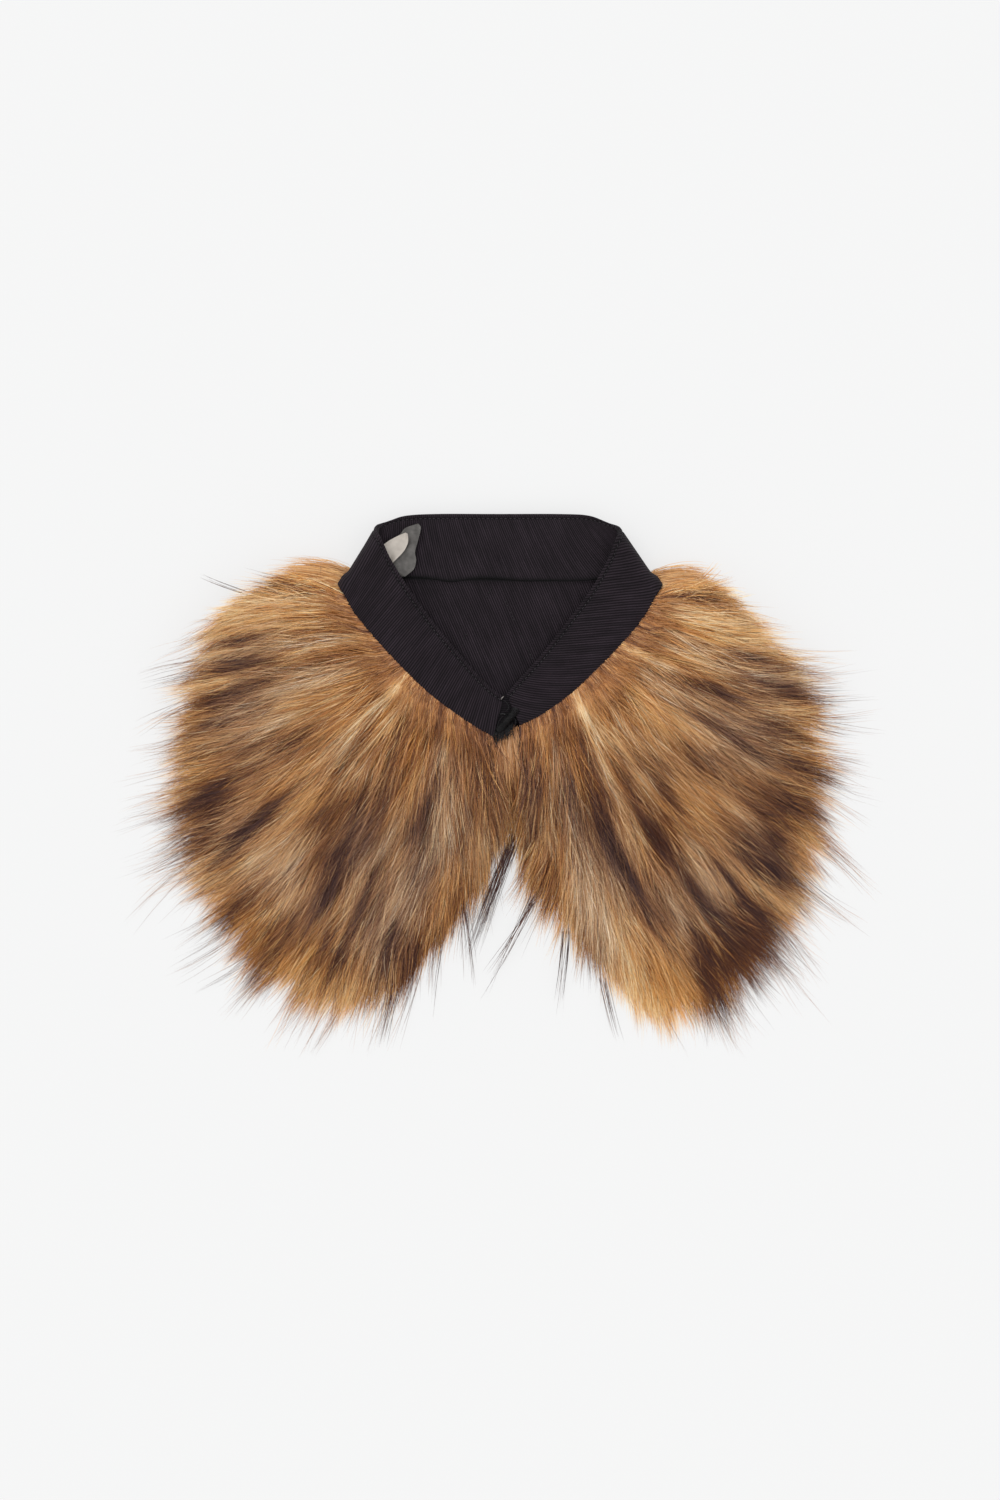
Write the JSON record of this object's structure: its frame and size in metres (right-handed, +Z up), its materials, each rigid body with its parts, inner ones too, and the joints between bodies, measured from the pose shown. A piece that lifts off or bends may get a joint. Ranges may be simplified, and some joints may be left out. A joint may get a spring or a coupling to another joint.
{
  "type": "fur collar wrap",
  "caption": "Detachable long-pile faux fur collar on a black twill neck stand, laid flat with its two round fronts over its back and closed by a hook and eye.",
  "frame": {"origin": "middle of the collar's base, on the surface it lies on", "axes": "+Z up from the surface, +Y towards the neck stand's upper edge, +X towards the right-hand lobe as seen from above"},
  "size_m": [0.4396, 0.3134, 0.0437],
  "materials": {
    "fur": "long soft pile in tan, orange and cream with dark brown guard hair",
    "twill": "matte black twill with fine ribs",
    "label_satin": "blank satin ribbon with a soft sheen",
    "black_metal": "black enamelled wire"
  },
  "bodies": {
    "root": {"stand_outer_ply": "twill", "stand_inner_ply": "twill", "lining_back": "twill", "lining_left_front": "twill", "lining_right_front": "twill", "fur_back": "fur", "fur_left_front": "fur", "fur_right_front": "fur", "label": "label_satin", "hook": "black_metal", "eye": "black_metal"}
  },
  "joints": []
}
